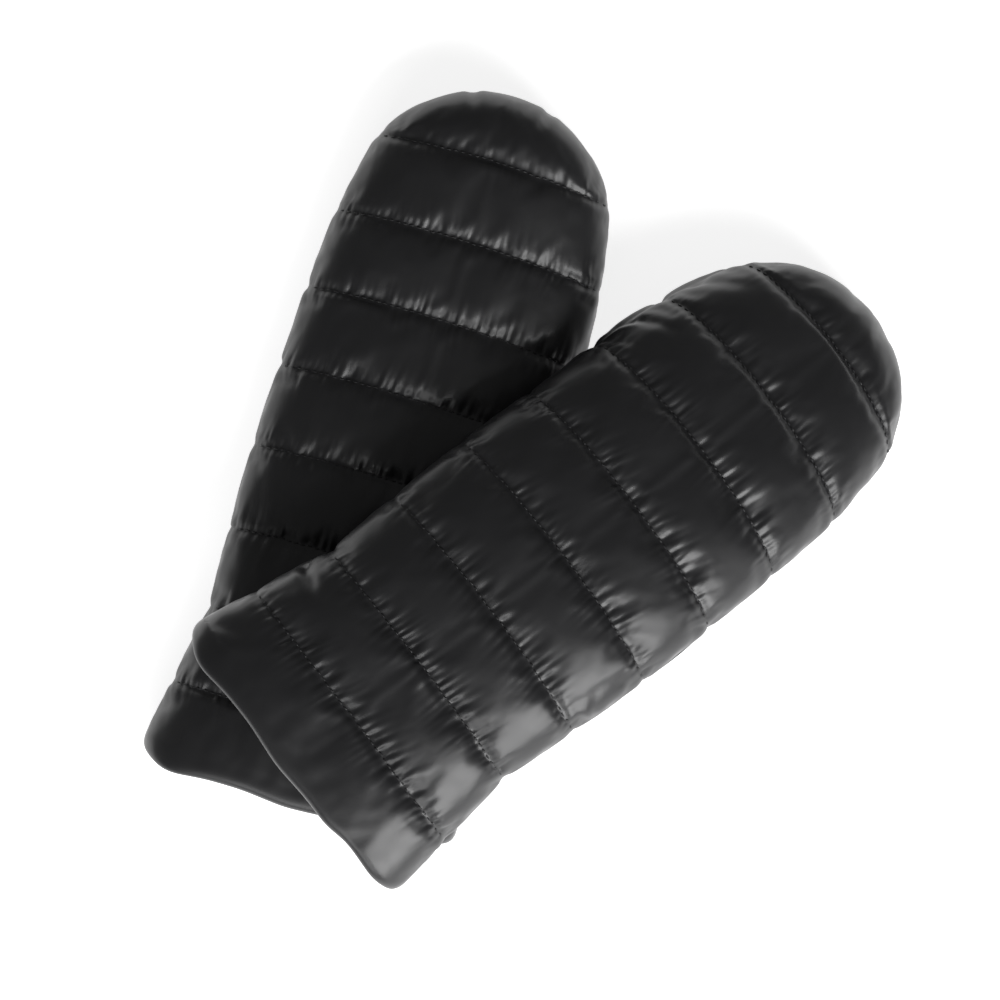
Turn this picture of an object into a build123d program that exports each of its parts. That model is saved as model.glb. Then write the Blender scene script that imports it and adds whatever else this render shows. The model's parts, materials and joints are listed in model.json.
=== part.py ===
from build123d import *
from math import cos, radians, sin, sqrt
import os

# A pair of quilted mitts lying palm down, one crossed over the other. Millimetres, +Z up.
# +Y runs midway between the two mitts, from the cuffs to the fingertips.
# Each mitt is built along its own length: s from the cuff's end to the tip, with the side
# direction "left" and the height above its own underside measured across the length.

# Driving dimensions of one mitt
LENGTH = 300.0
SEAMS = [32.0, 65.5, 99.0, 134.0, 168.0, 202.0, 235.5, 269.5]
SEAM_HALF_WIDTHS = [60.0, 54.5, 57.5, 58.5, 57.5, 56.0, 53.7, 46.5]
CUFF_HALF_WIDTH = 63.0
TIP_ROUNDING = 2.5
TIP_MARGIN = 0.6
TIP_STEPS = (281.0, 290.0, 296.0, 299.2)
PUFF = 1.2

# Heights above a mitt's own underside
PALM_GROOVE = 1.6
PALM_FILL_TOP = 14.0
SIDE_SEAM = 14.4
LINING_BOTTOM = 15.2
LINING_TOP = 27.2
BACK_FILL_BOTTOM = 27.4
BACK_AT_SEAM = 32.0
BACK_AT_CREST = 40.0

# Walls and gaps
FABRIC = 0.8
GAP = 0.12
FILL_GAP = 0.6
TRIM = 0.1
CUT = 1.0
LINING_WALL = 0.8
LINING_INSET = 12.0
LINING_CORNER = 5.4
LINING_END = 281.0
LINING_CLOSE = 288.0
LINING_TIP_STEPS = [252.0, 268.0]
ALLOWANCE_SHARE = 0.55
ALLOWANCE_GAP = 0.6
FACING_DEPTH = 25.0
ELASTIC_WIDTH = 7.0
ELASTIC_HEIGHT = 0.8
ELASTIC_INSET = 3.0
THREAD_RADIUS = 0.4
THREAD_GAP = 0.35

# Corner roundings of the back and the palm
BACK_CORNER_AT_SEAM = 24.0
BACK_CORNER_AT_CREST = 34.0
PALM_CORNER = 14.0
PALM_FLAT_STEP = 6.0
LEAST_FLAT = 3.0

# Thumb, tucked under the palm and swinging out about its root
PIVOT_S = 96.0
PIVOT_SIDE = 36.5
THUMB_PLANE_S = 112.0
THUMB_ROOT_RADIUS = 17.0
THUMB_TIP_RADIUS = 14.0
THUMB_REACH = 52.0
THUMB_BOTTOM = 1.0
THUMB_TOP = 10.6
THUMB_FABRIC = 0.7
THUMB_EDGE = 3.2
THUMB_PAD = 1.3
THUMB_LINING_WALL = 0.4
THUMB_LINING_INSET = 1.2
THUMB_HOLE_RADIUS = 11.0
PALM_HOLE_RADIUS = 12.0
THUMB_TUCK = 20.0
THUMB_SWING = 60.0
POCKET_ROOF = 11.0
POCKET_CLEARANCE = 1.0
POCKET_BELOW = 5.0

# Where the two mitts lie
SPREAD = 17.6
LOWER_CUFF = (7.0, -137.8)
UPPER_CUFF = (-5.0, -124.8)
UPPER_BEND_RADIUS = 470.0
UPPER_APEX = 78.0
UPPER_REST_HEIGHT = 42.4


class Lay:
    """How one mitt lies: its cuff, heading, height, bend over its length and thumb side."""

    def __init__(self, name, cuff, lean, rest_height, bend_radius, apex, thumb_side):
        self.name = name
        self.cuff = cuff
        self.along = Vector(-sin(radians(lean)), cos(radians(lean)), 0)
        self.left = Vector(-self.along.Y, self.along.X, 0)
        self.rest_height = rest_height
        self.bend_radius = bend_radius
        self.apex = apex
        self.thumb_side = thumb_side
        self.lies_flat = not bend_radius

    def station(self, s):
        """The plane across the mitt at s: x is left, y is up, z is towards the tip."""
        mid = BACK_AT_CREST / 2
        turn, run, drop = 0.0, s, 0.0
        if not self.lies_flat:
            turn = max(0.0, s - self.apex) / self.bend_radius
            run = min(s, self.apex) + self.bend_radius * sin(turn)
            drop = self.bend_radius * (1 - cos(turn))
        up = Vector(0, 0, 1) * cos(turn) + self.along * sin(turn)
        tangent = self.along * cos(turn) - Vector(0, 0, 1) * sin(turn)
        middle = Vector(*self.cuff, self.rest_height + mid - drop) + self.along * run
        return Plane(origin=middle - up * mid, x_dir=self.left, z_dir=tangent)

    def thumb_plane(self, height=0.0):
        """The plane of the thumb at its root: x towards the tip, y left, z up."""
        across = self.station(THUMB_PLANE_S)
        back = across.z_dir * (PIVOT_S - THUMB_PLANE_S)
        side = across.x_dir * (PIVOT_SIDE * self.thumb_side)
        root = across.origin + back + side + across.y_dir * height
        return Plane(origin=root, x_dir=across.z_dir, z_dir=across.y_dir)


LOWER = Lay("lower", LOWER_CUFF, SPREAD, 0.0, None, 0.0, 1)
UPPER = Lay("upper", UPPER_CUFF, -SPREAD, UPPER_REST_HEIGHT, UPPER_BEND_RADIUS, UPPER_APEX, -1)


def tip_factor(s):
    """How much of its full width the mitt keeps at s, past the last parallel seam."""
    start = SEAMS[5]
    if s <= start:
        return 1.0
    return max(0.0, 1 - ((s - start) / (LENGTH - start)) ** TIP_ROUNDING) ** (1 / TIP_ROUNDING)


def half_width(s):
    """The mitt's half width at the seams' own line, without the channels' puff."""
    if s > SEAMS[5]:
        return SEAM_HALF_WIDTHS[5] * tip_factor(s)
    stops = [0.0] + SEAMS[:6]
    widths = [CUFF_HALF_WIDTH] + SEAM_HALF_WIDTHS[:6]
    for near, far, width, next_width in zip(stops, stops[1:], widths, widths[1:]):
        if s <= far:
            return width + (next_width - width) * (s - near) / (far - near)


def end_height(s):
    """The height factor of the rounded tip channel."""
    return sqrt(max(0.0, 1 - ((s - SEAMS[-1]) / (LENGTH + TIP_MARGIN - SEAMS[-1])) ** 2))


class Section:
    """One cross-section: half width, corner roundings and heights of back and palm."""

    def __init__(self, s, puffed, groove):
        self.s = s
        tip = end_height(s) if puffed and s > SEAMS[-1] else 1.0
        self.width = half_width(s) + (PUFF if puffed else 0.0)
        crest = BACK_AT_CREST - SIDE_SEAM
        seam = BACK_AT_SEAM - SIDE_SEAM
        self.back = (crest if puffed else seam) * tip
        corner = BACK_CORNER_AT_CREST if puffed else BACK_CORNER_AT_SEAM
        self.back_corner = min(corner, self.width - LEAST_FLAT)
        self.palm = (SIDE_SEAM - (PALM_GROOVE if groove else 0.0)) * tip
        self.palm_corner = min(PALM_CORNER, self.width - LEAST_FLAT)

    def side_at(self, height):
        """Half width of the back's outline at a height above the side seam."""
        rise = min(1.0, height / self.back)
        return self.width - self.back_corner * (1 - sqrt(1 - rise * rise))


def channel_ends():
    """Start and end of each channel along the mitt."""
    stops = [0.0] + SEAMS + [LENGTH]
    return list(zip(stops, stops[1:]))


def back_sections(start, end, first=0.0, last=0.0):
    """Sections of one channel's back: seam, crest, seam, or the rounded tip."""
    if start < SEAMS[-1]:
        middle = (start + end) / 2
        near = Section(start + first, False, True)
        return [near, Section(middle, True, False), Section(end - last, False, True)]
    near = Section(start + first, False, True)
    return [near] + [Section(s, True, False) for s in TIP_STEPS]


def palm_sections(start, end, first=0.0, last=0.0):
    """Sections of one channel's palm: groove, flat stretch, groove, or the rounded tip."""
    near = Section(start + first, False, True)
    if start < SEAMS[-1]:
        flat = [Section(s, True, False) for s in (start + PALM_FLAT_STEP, end - PALM_FLAT_STEP)]
        return [near] + flat + [Section(end - last, False, True)]
    return [near] + [Section(s, True, False) for s in TIP_STEPS]


def whole(sections_of):
    """Sections of the whole length, each seam named once."""
    result = []
    for start, end in channel_ends():
        part = sections_of(start, end)
        result += part if not result else part[1:]
    return result


def back_edge(section, inset):
    """The back's outline from its left side seam over to its right one."""
    w = section.width - inset
    h = section.back - inset
    c = section.back_corner
    first = EllipticalCenterArc((w - c, SIDE_SEAM), c, h, 0, arc_size=90)
    Line((w - c, SIDE_SEAM + h), (c - w, SIDE_SEAM + h))
    last = EllipticalCenterArc((c - w, SIDE_SEAM), c, h, 90, arc_size=90)
    return first @ 0, last @ 1


def palm_edge(section, inset, drop=0.0):
    """The palm's outline from its right side seam under to its left one."""
    w = section.width - inset
    h = section.palm - inset - drop
    c = section.palm_corner
    base = SIDE_SEAM - drop
    first = EllipticalCenterArc((c - w, base), c, h, 180, arc_size=90)
    Line((c - w, base - h), (w - c, base - h))
    last = EllipticalCenterArc((w - c, base), c, h, 270, arc_size=90)
    return first @ 0, last @ 1


def back_block(lay, sections, inset):
    """The back as a solid, inset from its outside on every side but the side seam's plane."""
    with BuildPart() as block:
        for section in sections:
            with BuildSketch(lay.station(section.s)):
                with BuildLine():
                    start, end = back_edge(section, inset)
                    Line(end, start)
                make_face()
        loft(ruled=True)
    return block.part


def palm_block(lay, sections, inset, drop=0.0):
    """The palm as a solid, inset from its outside, flat on top."""
    with BuildPart() as block:
        for section in sections:
            with BuildSketch(lay.station(section.s)):
                with BuildLine():
                    start, end = palm_edge(section, inset, drop)
                    Line(end, start)
                make_face()
        loft(ruled=True)
    return block.part


def lining_half_width(s):
    """Half width of the lining bag at s, rounded towards its end."""
    reach = min(1.0, max(0.0, (s - SEAMS[5]) / (LINING_CLOSE - SEAMS[5])))
    return (half_width(min(s, SEAMS[5])) - LINING_INSET) * sqrt(1 - reach * reach)


def lining_stops(start, end):
    """Stations of the lining between two places: the seams and the steps of its end."""
    inner = [s for s in SEAMS[:7] + LINING_TIP_STEPS if start + CUT < s < end - CUT]
    return [start] + inner + [end]


def bag(lay, start, end, inset):
    """A rounded flat tube along the hand cavity."""
    height = LINING_TOP - LINING_BOTTOM - 2 * inset
    centre = (LINING_TOP + LINING_BOTTOM) / 2
    with BuildPart() as tube:
        for s in lining_stops(start, end):
            with BuildSketch(lay.station(s)):
                with Locations((0, centre)):
                    RectangleRounded(2 * (lining_half_width(s) - inset), height, LINING_CORNER - inset)
        loft(ruled=True)
    return tube.part


def hand_room(lay):
    """A box-sided room round the lining, higher than the layers beside it."""
    height = BACK_FILL_BOTTOM - PALM_FILL_TOP + 2 * CUT
    with BuildPart() as room:
        for s in lining_stops(-CUT, LINING_END):
            with BuildSketch(lay.station(s)):
                with Locations((0, (BACK_FILL_BOTTOM + PALM_FILL_TOP) / 2)):
                    Rectangle(2 * lining_half_width(s) + 4 * GAP, height)
        loft(ruled=True)
    return room.part


def thumb_outline(lay, plane, grow):
    """The thumb's outline at rest: two circles and the lines that touch both."""
    turn = -THUMB_TUCK * lay.thumb_side
    with BuildSketch(plane) as outline:
        Circle(THUMB_ROOT_RADIUS + grow)
        with Locations((THUMB_REACH * cos(radians(turn)), THUMB_REACH * sin(radians(turn)))):
            Circle(THUMB_TIP_RADIUS + grow)
        make_hull()
    return outline.sketch


def thumb_block(lay, grow, bottom, top, edge=0.0):
    """A thumb-shaped block between two heights, with rounded rims."""
    with BuildPart() as block:
        add(thumb_outline(lay, lay.thumb_plane(bottom), grow))
        extrude(amount=top - bottom)
        if edge:
            normal = lay.thumb_plane().z_dir
            rims = block.faces().sort_by(Axis(lay.thumb_plane().origin, normal))
            fillet(rims[0].edges() + rims[-1].edges(), edge)
    return block.part


def pocket(lay, grow):
    """The room that the thumb sweeps through, open at the mitt's side."""
    rest = -THUMB_TUCK * lay.thumb_side
    swing = THUMB_SWING * lay.thumb_side
    wide = POCKET_CLEARANCE + grow
    reach = THUMB_REACH + THUMB_TIP_RADIUS + wide
    plane = lay.thumb_plane(-POCKET_BELOW)
    opened = (THUMB_REACH * cos(radians(rest + swing)), THUMB_REACH * sin(radians(rest + swing)))
    with BuildPart() as room:
        with BuildSketch(plane):
            with BuildLine():
                rim = CenterArc((0, 0), reach, rest, swing)
                Line(rim @ 1, (0, 0))
                Line((0, 0), rim @ 0)
            make_face()
            add(thumb_outline(lay, Plane.XY, wide))
        extrude(amount=POCKET_BELOW + POCKET_ROOF + grow)
        with BuildSketch(plane):
            Circle(THUMB_ROOT_RADIUS + wide)
            with Locations(opened):
                Circle(THUMB_TIP_RADIUS + wide)
            make_hull()
        extrude(amount=POCKET_BELOW + POCKET_ROOF + grow)
    return room.part


def palm_core(lay, sections, inset, drop):
    """The inside of the palm, clear of the room that the thumb needs."""
    with BuildPart() as core:
        add(palm_block(lay, sections, inset, drop))
        add(pocket(lay, inset), mode=Mode.SUBTRACT)
    return core.part


def thumb_hole(lay, radius, bottom, top):
    """The round way from the hand cavity down into the thumb."""
    with BuildPart() as hole:
        with BuildSketch(lay.thumb_plane(bottom)):
            Circle(radius)
        extrude(amount=top - bottom)
    return hole.part


def save(name, part):
    part.label = name
    export_step(part, f"parts/{name}.step")


def make_shells(lay):
    """The nylon back and palm, meeting at the side seam."""
    with BuildPart() as back_shell:
        add(back_block(lay, whole(back_sections), 0.0))
        add(back_block(lay, whole(back_sections), FABRIC), mode=Mode.SUBTRACT)
        with BuildSketch(lay.station(TIP_STEPS[-1])):
            with BuildLine():
                start, end = back_edge(Section(TIP_STEPS[-1], True, False), 0.0)
                Line(end, start)
            make_face()
        extrude(amount=LENGTH - TIP_STEPS[-1])
    save(f"{lay.name}_back_shell", back_shell.part)

    inside = palm_core(lay, whole(palm_sections), FABRIC, GAP)
    with BuildPart() as palm_shell:
        add(palm_block(lay, whole(palm_sections), -TRIM if lay.lies_flat else 0.0, GAP))
        add(pocket(lay, 0.0), mode=Mode.SUBTRACT)
        add(inside, mode=Mode.SUBTRACT)
        add(thumb_hole(lay, PALM_HOLE_RADIUS, 0.0, SIDE_SEAM), mode=Mode.SUBTRACT)
        if lay.lies_flat:
            split(bisect_by=Plane.XY, keep=Keep.TOP)
    save(f"{lay.name}_palm_shell", palm_shell.part)


def make_fills(lay):
    """The wadding, one pad for each channel of the back and of the palm."""
    for number, (start, end) in enumerate(channel_ends(), 1):
        first = FABRIC + GAP if number == 1 else FILL_GAP / 2
        middle = (start + end) / 2
        with BuildPart() as back_fill:
            add(back_block(lay, back_sections(start, end, first, FILL_GAP / 2), FABRIC + GAP))
            cut = lay.station(middle)
            floor = Plane(origin=cut.origin + cut.y_dir * BACK_FILL_BOTTOM, z_dir=cut.y_dir)
            split(bisect_by=floor, keep=Keep.TOP)
        save(f"{lay.name}_back_fill_{number}", back_fill.part)

        sections = palm_sections(start, end, first, FILL_GAP / 2)
        with BuildPart() as palm_fill:
            add(palm_core(lay, sections, FABRIC + GAP, SIDE_SEAM - PALM_FILL_TOP))
            add(thumb_hole(lay, PALM_HOLE_RADIUS, 0.0, SIDE_SEAM), mode=Mode.SUBTRACT)
        save(f"{lay.name}_palm_fill_{number}", palm_fill.part)


def make_inner_layers(lay):
    """The lining bag, the turned-in cuff facing, the seam allowance and the wrist elastic."""
    hole = thumb_hole(lay, THUMB_HOLE_RADIUS, PALM_FILL_TOP, LINING_BOTTOM + LINING_CORNER)
    with BuildPart() as lining:
        add(bag(lay, FACING_DEPTH + GAP, LINING_END, 0.0))
        add(bag(lay, FACING_DEPTH, LINING_END - LINING_WALL, LINING_WALL), mode=Mode.SUBTRACT)
        add(hole, mode=Mode.SUBTRACT)
    save(f"{lay.name}_lining", lining.part)

    cuff = Section(0.0, False, True)
    with BuildPart() as cuff_facing:
        with BuildSketch(lay.station(0.0)):
            with BuildLine():
                back_edge(cuff, FABRIC + GAP)
                palm_edge(cuff, FABRIC + GAP)
            make_face()
        extrude(amount=FABRIC)
        add(bag(lay, 0.0, FACING_DEPTH, 0.0))
        add(bag(lay, -CUT, FACING_DEPTH + CUT, LINING_WALL), mode=Mode.SUBTRACT)
    save(f"{lay.name}_cuff_facing", cuff_facing.part)

    with BuildPart() as seam_allowance:
        for section in whole(back_sections):
            start_gap = FABRIC + GAP if section.s == 0 else 0.0
            top = min(LINING_TOP - SIDE_SEAM, ALLOWANCE_SHARE * section.back)
            low = section.width - FABRIC - ALLOWANCE_GAP
            high = section.side_at(top) - FABRIC - ALLOWANCE_GAP
            with BuildSketch(lay.station(section.s + start_gap)):
                Polygon(
                    (-low, SIDE_SEAM + GAP),
                    (low, SIDE_SEAM + GAP),
                    (high, SIDE_SEAM + top),
                    (-high, SIDE_SEAM + top),
                    align=None,
                )
        loft(ruled=True)
        add(hand_room(lay), mode=Mode.SUBTRACT)
    save(f"{lay.name}_seam_allowance", seam_allowance.part)

    wrist = SEAMS[1]
    with BuildPart() as wrist_elastic:
        with BuildSketch(lay.station(wrist - ELASTIC_WIDTH / 2)):
            with Locations((0, (PALM_FILL_TOP + LINING_BOTTOM) / 2)):
                Rectangle(2 * (lining_half_width(wrist) - ELASTIC_INSET), ELASTIC_HEIGHT)
        extrude(amount=ELASTIC_WIDTH)
    save(f"{lay.name}_wrist_elastic", wrist_elastic.part)


def make_threads(lay):
    """The rows of quilting stitches, one along each seam of the back and of the palm."""
    with BuildPart() as back_quilting:
        for s in SEAMS:
            section = Section(s, False, True)
            with BuildLine(lay.station(s)) as row:
                back_edge(section, -THREAD_RADIUS - THREAD_GAP)
            with BuildSketch(Plane(origin=row.line @ 0, z_dir=row.line % 0)):
                Circle(THREAD_RADIUS)
            sweep(path=row.line)
    save(f"{lay.name}_back_quilting", back_quilting.part)

    with BuildPart() as palm_quilting:
        for s in SEAMS:
            section = Section(s, False, True)
            with BuildLine(lay.station(s)) as row:
                palm_edge(section, -THREAD_RADIUS - THREAD_GAP)
            with BuildSketch(Plane(origin=row.line @ 0, z_dir=row.line % 0)):
                Circle(THREAD_RADIUS)
            sweep(path=row.line)
        add(pocket(lay, 0.0), mode=Mode.SUBTRACT)
    save(f"{lay.name}_palm_quilting", palm_quilting.part)


def make_thumb(lay):
    """The thumb: shell, two pads, and a lining that opens up into the hand cavity."""
    inner_bottom = THUMB_BOTTOM + THUMB_FABRIC
    inner_top = THUMB_TOP - THUMB_FABRIC
    hole = thumb_hole(lay, THUMB_HOLE_RADIUS, (THUMB_BOTTOM + THUMB_TOP) / 2, POCKET_ROOF)
    with BuildPart() as thumb_shell:
        add(thumb_block(lay, 0.0, THUMB_BOTTOM, THUMB_TOP, THUMB_EDGE))
        inside = thumb_block(lay, -THUMB_FABRIC, inner_bottom, inner_top, THUMB_EDGE - THUMB_FABRIC)
        add(inside, mode=Mode.SUBTRACT)
        add(hole, mode=Mode.SUBTRACT)
    save(f"{lay.name}_thumb_shell", thumb_shell.part)

    pad_inset = -THUMB_EDGE - THUMB_FABRIC
    with BuildPart() as thumb_lower_fill:
        add(thumb_block(lay, pad_inset, inner_bottom + GAP, inner_bottom + THUMB_PAD))
    save(f"{lay.name}_thumb_lower_fill", thumb_lower_fill.part)

    with BuildPart() as thumb_upper_fill:
        add(thumb_block(lay, pad_inset, inner_top - THUMB_PAD, inner_top - GAP))
        add(hole, mode=Mode.SUBTRACT)
    save(f"{lay.name}_thumb_upper_fill", thumb_upper_fill.part)

    bag_bottom = inner_bottom + THUMB_PAD + GAP
    bag_top = inner_top - THUMB_PAD - GAP
    bag_grow = -THUMB_FABRIC - THUMB_LINING_INSET
    edge = THUMB_LINING_INSET
    wall = THUMB_LINING_WALL
    with BuildPart() as thumb_lining:
        add(thumb_block(lay, bag_grow, bag_bottom, bag_top, edge))
        inside = thumb_block(lay, bag_grow - wall, bag_bottom + wall, bag_top - wall, edge - wall)
        add(inside, mode=Mode.SUBTRACT)
        add(hole, mode=Mode.SUBTRACT)
    save(f"{lay.name}_thumb_lining", thumb_lining.part)


os.makedirs("parts", exist_ok=True)
for mitt in (LOWER, UPPER):
    make_shells(mitt)
    make_fills(mitt)
    make_inner_layers(mitt)
    make_threads(mitt)
    make_thumb(mitt)
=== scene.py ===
import json
import math

import bmesh
import bpy
import numpy as np
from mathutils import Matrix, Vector


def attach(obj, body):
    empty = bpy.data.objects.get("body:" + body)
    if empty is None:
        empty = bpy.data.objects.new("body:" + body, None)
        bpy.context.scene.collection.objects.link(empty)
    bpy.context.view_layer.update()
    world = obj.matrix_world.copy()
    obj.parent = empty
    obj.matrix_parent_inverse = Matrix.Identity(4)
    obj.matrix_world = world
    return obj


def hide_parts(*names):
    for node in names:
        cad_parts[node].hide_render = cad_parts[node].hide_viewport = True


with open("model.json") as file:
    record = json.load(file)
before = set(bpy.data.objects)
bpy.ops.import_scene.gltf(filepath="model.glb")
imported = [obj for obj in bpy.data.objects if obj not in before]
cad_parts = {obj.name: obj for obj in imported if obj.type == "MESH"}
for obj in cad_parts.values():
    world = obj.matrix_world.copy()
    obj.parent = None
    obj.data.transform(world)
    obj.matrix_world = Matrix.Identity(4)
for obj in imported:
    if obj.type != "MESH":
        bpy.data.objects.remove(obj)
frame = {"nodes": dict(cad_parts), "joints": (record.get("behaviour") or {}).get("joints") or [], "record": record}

MM = 0.001

# One mitt, in metres, along its own length s, across it y (left is positive), up z.
LENGTH = 301 * MM
SEAMS = np.array([32.0, 65.5, 99.0, 134.0, 168.0, 202.0, 235.5, 269.5]) * MM
STOPS = np.concatenate([[0.0], SEAMS])
HALF_WIDTHS = np.array([66.5, 61.8, 56.4, 58.4, 59.4, 58.8, 57.8, 55.9, 49.2]) * MM
NOMINAL_HALF_WIDTH = 55 * MM
TIP_FLARE = 0.43
SIDE_SEAM = 14.4 * MM
BACK_AT_SEAM = 21.0 * MM
BACK_AT_CREST = 24.5 * MM
PALM_AT_SEAM = 12.4 * MM
PALM_AT_CREST = 14.2 * MM
MIDDLE = 20 * MM
BACK_ROUNDING = 2.5
PALM_ROUNDING = 3.6
CHANNEL_POWER = 2.3
TIP_CREST = 0.42
SIDE_PUFF = 1.3 * MM
TIP_PUFF = 0.5 * SIDE_PUFF
SEAM_BOW = 2.6 * MM
BOW_START = 99 * MM
STRETCH_START = 190 * MM

# The palm's fabric past the side seam. The upper mitt's left side shows it most.
PALM_OVERHANG = 0.8 * MM
RUFFLE = 2.6 * MM
RUFFLE_START = 185 * MM
RUFFLE_END = 275 * MM
RUFFLE_RISE = 20 * MM
RUFFLE_FALL = 10 * MM

# The cuff: its hem, and how far its edge wanders at places across it.
HEM = 6.5 * MM
HEM_ROLL = 1.5
CUFF_SPOTS = np.array([-66, -58, -48, -38, -29, -16, 3, 22, 37, 53, 60, 66]) * MM
CUFF_WAVES = np.array([2.4, -0.6, 0.2, 0.6, -2.0, -1.7, -3.2, -1.6, -2.0, -4.2, -2.0, 2.4]) * MM
CUFF_SOFTENING = np.array([-4.0, -2.0, 0.0, 2.0, 4.0]) * MM
CUFF_FADE = 9 * MM

# The mouth, the facing and the lining bag inside it.
MOUTH_MIDDLE = 21.2 * MM
MOUTH_HALF_HEIGHT = 5.0 * MM
MOUTH_INSET = 11.0 * MM
MOUTH_ROUNDING = 4
FACING_START = HEM - 1.5 * MM
FACING_DEPTH = 25 * MM
FACING_RINGS = 8
FACING_THICKNESS = 0.6 * MM
LINING_END = 280 * MM
LINING_THICKNESS = 0.8 * MM
BAG_START = FACING_DEPTH - 1 * MM
BAG_ROUND_START = 202 * MM
BAG_ROUND_END = LINING_END + 2 * MM
BAG_EVEN_END = 240 * MM
BAG_STEP = 8 * MM
BAG_END_RINGS = 9
TUBE_SIDES = 72
TUBE_SQUARENESS = 0.55
TUBE_FULL_HEIGHT_AT = 14 * MM
TUBE_SHUT_BELOW = 20 * MM

# The thumb, from its pivot, and the room that it needs under the palm.
THUMB_S = 96 * MM
THUMB_SIDE = 36.5 * MM
THUMB_PLANE_S = 112 * MM
THUMB_ROOT = 17 * MM
THUMB_TIP = 14 * MM
THUMB_REACH = 52 * MM
THUMB_MIDDLE = 5.8 * MM
THUMB_TUCK = math.radians(20)
THUMB_SWING = math.radians(60)
THUMB_SEAMS = np.array([14.0, 40.0]) * MM
THUMB_ROUNDING = 2.6
THUMB_AT_SEAM = 3.4 * MM
THUMB_PUFF = 1.3 * MM
THUMB_THIN_BELOW = 9 * MM
THUMB_THINNING = 0.6
NOMINAL_THUMB_HEIGHT = 5 * MM
THUMB_GATHER = 0.5 * MM
THUMB_GATHER_SPACING = 3.0 * MM
THUMB_GATHER_SPAN = 30 * MM
THUMB_GATHER_REACH = 3.5 * MM
POCKET_CLEARANCE = 1.0 * MM
POCKET_ROOF = 11.3 * MM
POCKET_EDGE = 3 * MM

# The least and most heights of the skins.
FLOOR_GAP = 0.2 * MM
PRESSED_HEIGHT = 41.8 * MM
FREE_HEIGHT = 60 * MM

# The meshes before they are subdivided.
CELL = 3.0 * MM
BACK_COLUMNS = 50
PALM_COLUMNS = 44
TIP_ROWS = 16
HEM_ROWS = 8
THUMB_ROWS = 81
THUMB_COLUMNS = 34
WELD = 0.05 * MM

# Cloth: where it is held, and how much of the simulation is kept away from the seams.
HELD_BY_SEAM = 0.4 * MM
HELD_BY_CUFF = 3 * MM
HELD_BY_SIDE = 0.6 * MM
CLOTH_FRAMES = 16
FOLDS_INSIDE = 0.3
FOLD_REACH = 7 * MM
MOST_FOLD = 3.5 * MM

# Gathers along the seams, as layers of ridges, and how tight each seam is.
GATHERS = (  # spacing, reach from the seam, height
    (2.6 * MM, 3.4 * MM, 0.7 * MM),
    (4.0 * MM, 5.6 * MM, 0.85 * MM),
    (8.5 * MM, 8.0 * MM, 0.35 * MM),
)
SEAM_TIGHTNESS = (1.15, 1.15, 1.0, 1.0, 1.0, 1.0, 0.8, 0.35)
CUFF_SIDE_SHARE = 0.75
PALM_GATHER_SHARE = 0.5
GATHER_SPAN = 90 * MM
GATHER_STEP = 0.2 * MM
GATHER_START = 0.45 * MM
GATHER_FALL = 1.3
GATHER_MEAN = 0.35
RIDGE_WIDTHS = (0.55, 1.6)
RIDGE_HEIGHTS = (0.15, 1.0)
MOST_SLANT = 0.25

# The deeper folds in mm, each from the mitt's edge inward: its start and its end, both along and
# across the mitt, and then its width and its depth.
CREASES = {
    "upper": (
        (54, 60, 46, 40, 2.6, 1.7),
        (35, -62, 22, -38, 3.0, 1.0),
        (107, -64, 103, -48, 2.2, 1.1),
        (109, -62, 116, -50, 2.0, 0.8),
        (246, 58, 264, 36, 2.6, 1.0),
        (217, 61, 229, 38, 2.4, 1.1),
        (203, 61, 214, 42, 2.2, 0.9),
        (10, 64, 24, 40, 3.0, 0.9),
    ),
    "lower": (
        (301, 19, 284, 14, 2.2, 0.8),
        (301, -15, 285, -11, 2.2, 0.8),
        (62, 61, 50, 42, 2.8, 0.8),
        (20, 66, 28, 46, 2.8, 0.7),
    ),
}

# A fold sways, and has a soft lip on each side, in widths of its groove. LIP_HEIGHT is a share of its
# depth, and CREASE_FADE is the height above the side seam over which it fades in.
CREASE_SWAY = 0.35
CREASE_TURNS = 4
LIP_HEIGHT = 0.3
LIP_AT = 1.9
LIP_WIDTH = 1.2
CREASE_FADE = 5 * MM

# Stitches.
STITCH_PITCH = 2.9 * MM
STITCH_LENGTH = 2.2 * MM
STITCH_RADIUS = 0.32 * MM
STITCH_SIDES = 6
STITCH_STOPS = np.array([-1.0, -0.85, -0.4, 0.4, 0.85, 1.0])
STITCH_SIZES = np.array([0.15, 0.75, 1.0, 1.0, 0.75, 0.15])
STITCH_LIFT = 0.15 * MM
SEAM_END_GAP = 2 * MM
SEAM_BAND = 1.5 * MM
SAME_SEAM = 6 * MM

# The picture.
FLOOR_CORNERS = [(-6, -6, 0), (6, -6, 0), (6, 6, 0), (-6, 6, 0)]
ROLL = math.radians(35.1)
VIEW_CENTRE = Vector((0.0040, 0.0106, 0.035))
VIEW_WIDTH = 0.4054
VIEW_DISTANCE = 2.0

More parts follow.
